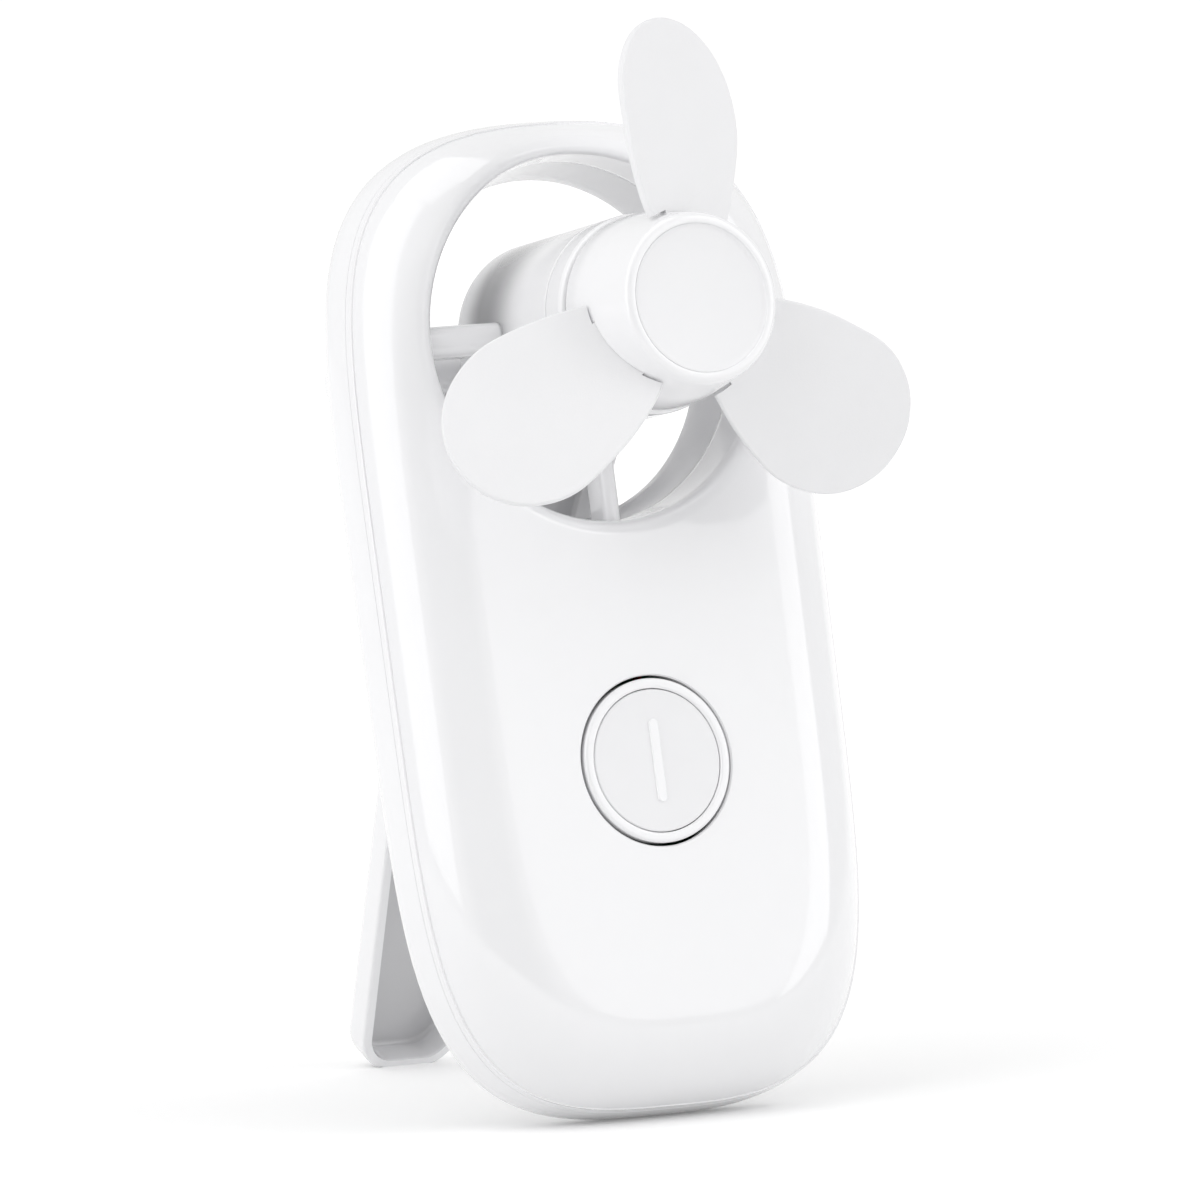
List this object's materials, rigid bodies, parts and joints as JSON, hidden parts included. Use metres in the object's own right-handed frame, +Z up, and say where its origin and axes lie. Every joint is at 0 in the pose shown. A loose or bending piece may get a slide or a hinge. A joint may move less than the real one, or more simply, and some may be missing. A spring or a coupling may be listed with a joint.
{
  "type": "clip fan",
  "caption": "Pocket fan: rounded white body with a see-through ring, a hub with soft paddle blades in front, a round push button and a folding rear clip leg that props it up.",
  "frame": {"origin": "on the surface that the fan stands on, under the middle of its box seen from above", "axes": "+Z up, -Y towards the front face, which leans back 12.5 degrees, +X to the right seen from the front"},
  "size_m": [0.0626, 0.0816, 0.1314],
  "materials": {
    "gloss_white": "glossy injection-moulded white plastic",
    "satin_white": "satin white plastic",
    "pale_grey_soft": "matt soft pale grey plastic",
    "button_grey": "satin pale grey plastic",
    "steel": "bright plated steel",
    "brass": "plain brass",
    "dark_plastic": "matt black plastic",
    "board_green": "glass-fibre board with green lacquer",
    "cell_skin": "printed metal sleeve, bare of any mark",
    "wire_red": "red wire insulation",
    "wire_black": "black wire insulation"
  },
  "bodies": {
    "case": {"front_shell": "gloss_white", "rear_shell": "gloss_white", "motor_frame": "gloss_white", "pod_front": "gloss_white", "motor_can": "steel", "motor_end_cap": "dark_plastic", "tact_switch": "dark_plastic", "circuit_board": "board_green", "leg_pin": "steel", "case_screw_1": "steel", "case_screw_2": "steel", "case_screw_3": "steel", "case_screw_4": "steel", "battery_left": "cell_skin", "battery_right": "cell_skin", "nub_contact_left": "steel", "nub_contact_right": "steel", "cell_spring_left": "steel", "cell_spring_right": "steel", "motor_terminal_left": "brass", "motor_terminal_right": "brass", "motor_wire_black": "wire_black", "motor_wire_red": "wire_red"},
    "rotor": {"motor_shaft": "steel", "rotor_hub": "gloss_white", "hub_cap": "satin_white", "blade_1": "pale_grey_soft", "blade_2": "pale_grey_soft", "blade_3": "pale_grey_soft"},
    "button": {"button_ring": "gloss_white", "button_cap": "button_grey"},
    "leg": {"clip_leg": "gloss_white"},
    "door": {"battery_door": "gloss_white"}
  },
  "joints": [
    {"name": "rotor_spin", "type": "hinge", "parent": "case", "child": "rotor", "pos_m": [0, -0.03222, 0.09785], "axis": [0, -0.9763, 0.2164], "continuous": true},
    {"name": "button_press", "type": "slide", "parent": "case", "child": "button", "axis": [0, 0.9763, -0.2164], "range_m": [0, 0.0008], "stiffness_N_per_m": 1500},
    {"name": "leg_fold", "type": "hinge", "parent": "case", "child": "leg", "pos_m": [0, 0.00227, 0.08754], "axis": [-1, 0, 0], "range_deg": [0, 35]},
    {"name": "door_slide", "type": "slide", "parent": "case", "child": "door", "axis": [0, -0.2164, -0.9763], "range_m": [0, 0.004]}
  ]
}
